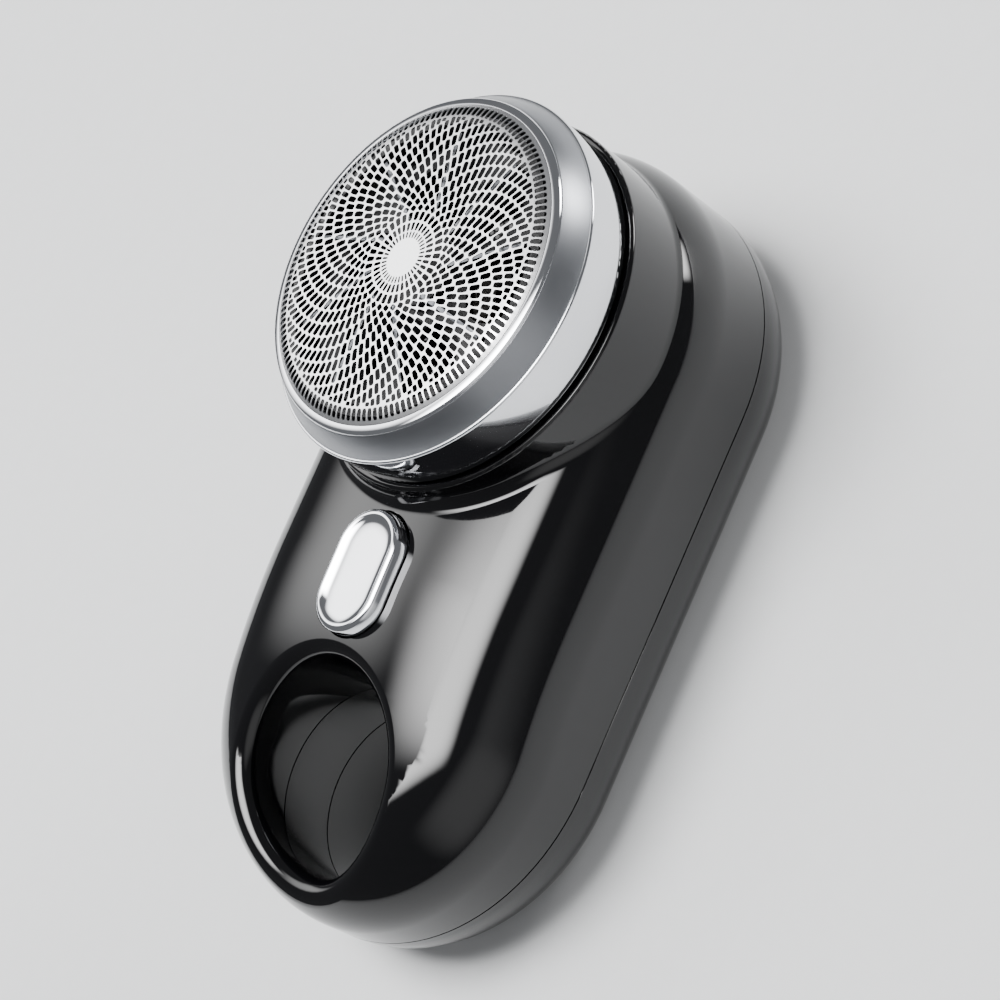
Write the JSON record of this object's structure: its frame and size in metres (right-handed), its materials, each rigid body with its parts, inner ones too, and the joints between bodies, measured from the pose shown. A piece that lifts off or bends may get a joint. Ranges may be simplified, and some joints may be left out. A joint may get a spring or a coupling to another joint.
{
  "type": "electric shaver",
  "caption": "Pocket electric shaver: round domed foil head on a drum, sloping grip with a push button and a round finger hole, flat back.",
  "frame": {"origin": "centre of the body's outline, on the plane of the flat back", "axes": "+X to the right seen from the front, +Y along the body towards the head end, +Z out of the back towards the foil"},
  "size_m": [0.0384, 0.0732, 0.0336],
  "materials": {
    "gloss_shell": "black piano gloss ABS",
    "inner_gloss": "black moulded plastic, semi gloss",
    "dark_plastic": "black moulded plastic",
    "black_rubber": "black silicone",
    "chrome_plate": "polished chrome plating on plastic",
    "satin_ring": "satin grey metallised ring",
    "foil_steel": "thin perforated stainless steel",
    "blade_steel": "ground stainless steel",
    "spring_steel": "drawn wire",
    "plated_screw": "nickel plated steel",
    "plated_can": "nickel plated steel",
    "white_acetal": "white acetal",
    "bronze_bush": "sintered bronze",
    "copper_winding": "enamelled copper on laminations",
    "dark_ferrite": "ferrite magnet",
    "board_laminate": "green glass laminate",
    "cell_wrap": "shrink wrapped lithium cell",
    "lead_insulation": "PVC insulation"
  },
  "bodies": {
    "housing": {"front_shell": "gloss_shell", "rear_cover": "gloss_shell", "middle_frame": "inner_gloss", "case_seal": "black_rubber", "case_screws": "plated_screw", "head_seat": "inner_gloss", "head_seal": "black_rubber", "field_magnets": "dark_ferrite", "motor_can": "plated_can", "motor_end_cap": "white_acetal", "motor_bush": "bronze_bush", "motor_bracket": "dark_plastic", "motor_screws": "plated_screw", "motor_pad": "black_rubber", "button_seal": "black_rubber", "circuit_board": "board_laminate", "board_components": "dark_plastic", "tact_switch": "dark_plastic", "charge_port": "plated_can", "port_tongue": "dark_plastic", "battery_cell": "cell_wrap", "battery_pad": "black_rubber", "battery_leads": "lead_insulation", "motor_leads": "lead_insulation"},
    "head_cap": {"chrome_band": "chrome_plate", "bevel_ring": "satin_ring", "foil_skirt": "chrome_plate", "shaving_foil": "foil_steel", "foil_retainer": "dark_plastic", "latch_ring": "dark_plastic"},
    "spindle": {"motor_shaft": "blade_steel", "rotor": "copper_winding", "drive_coupler": "white_acetal", "coupler_spring": "spring_steel"},
    "cutter": {"blade_carrier": "dark_plastic", "cutter_blades": "blade_steel"},
    "button": {"power_button": "chrome_plate"},
    "plunger": {"switch_plunger": "dark_plastic"}
  },
  "joints": [
    {"name": "head_cap_lift", "type": "slide", "parent": "housing", "child": "head_cap", "axis": [0, 0, 1], "range_m": [0, 0.012]},
    {"name": "spindle_spin", "type": "hinge", "parent": "housing", "child": "spindle", "pos_m": [0, 0.01735, 0.0248], "axis": [0, 0, 1], "continuous": true},
    {"name": "cutter_float", "type": "slide", "parent": "spindle", "child": "cutter", "axis": [0, 0, 1], "range_m": [-0.0006, 0], "stiffness_N_per_m": 300, "springref_m": 0.0006, "deforming": ["coupler_spring"]},
    {"name": "button_press", "type": "slide", "parent": "housing", "child": "button", "axis": [0, -0.0221, 0.9998], "range_m": [-0.0005, 0], "stiffness_N_per_m": 1500, "springref_m": 0.0002},
    {"name": "plunger_press", "type": "slide", "parent": "housing", "child": "plunger", "axis": [0, -0.0221, 0.9998], "range_m": [-0.0005, 0]}
  ],
  "couplings": [
    {"joint": "plunger_press", "follows": "button_press", "ratio": 1}
  ]
}
